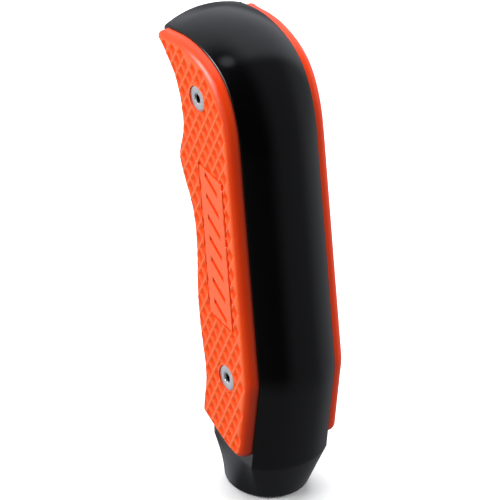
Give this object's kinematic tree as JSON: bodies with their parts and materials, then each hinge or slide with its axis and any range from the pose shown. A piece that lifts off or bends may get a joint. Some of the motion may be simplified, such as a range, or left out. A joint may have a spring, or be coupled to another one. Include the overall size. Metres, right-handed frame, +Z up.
{
  "type": "gear shift lever handle",
  "caption": "Pistol-shaped gear shift handle: crowned gloss core, textured side plates with countersunk screws, threaded foot for a lever.",
  "frame": {"origin": "centre of the round foot's bottom face, on the axis of the lever thread", "axes": "+Z up along the lever thread axis, +Y to the finger side, so the palm side of the spine looks along -Y; +X to the right-hand plate"},
  "size_m": [0.0328, 0.0685, 0.1385],
  "materials": {
    "core": "gloss black",
    "plate": "moulded satin orange with diamond texture",
    "screw": "stainless",
    "insert": "turned",
    "set_screw": "black oxide"
  },
  "bodies": {
    "root": {"grip_core": "core", "left_side_plate": "plate", "right_side_plate": "plate", "left_upper_screw": "screw", "left_lower_screw": "screw", "right_upper_screw": "screw", "right_lower_screw": "screw", "lever_insert": "insert", "lower_set_screw": "set_screw", "upper_set_screw": "set_screw"}
  },
  "joints": []
}
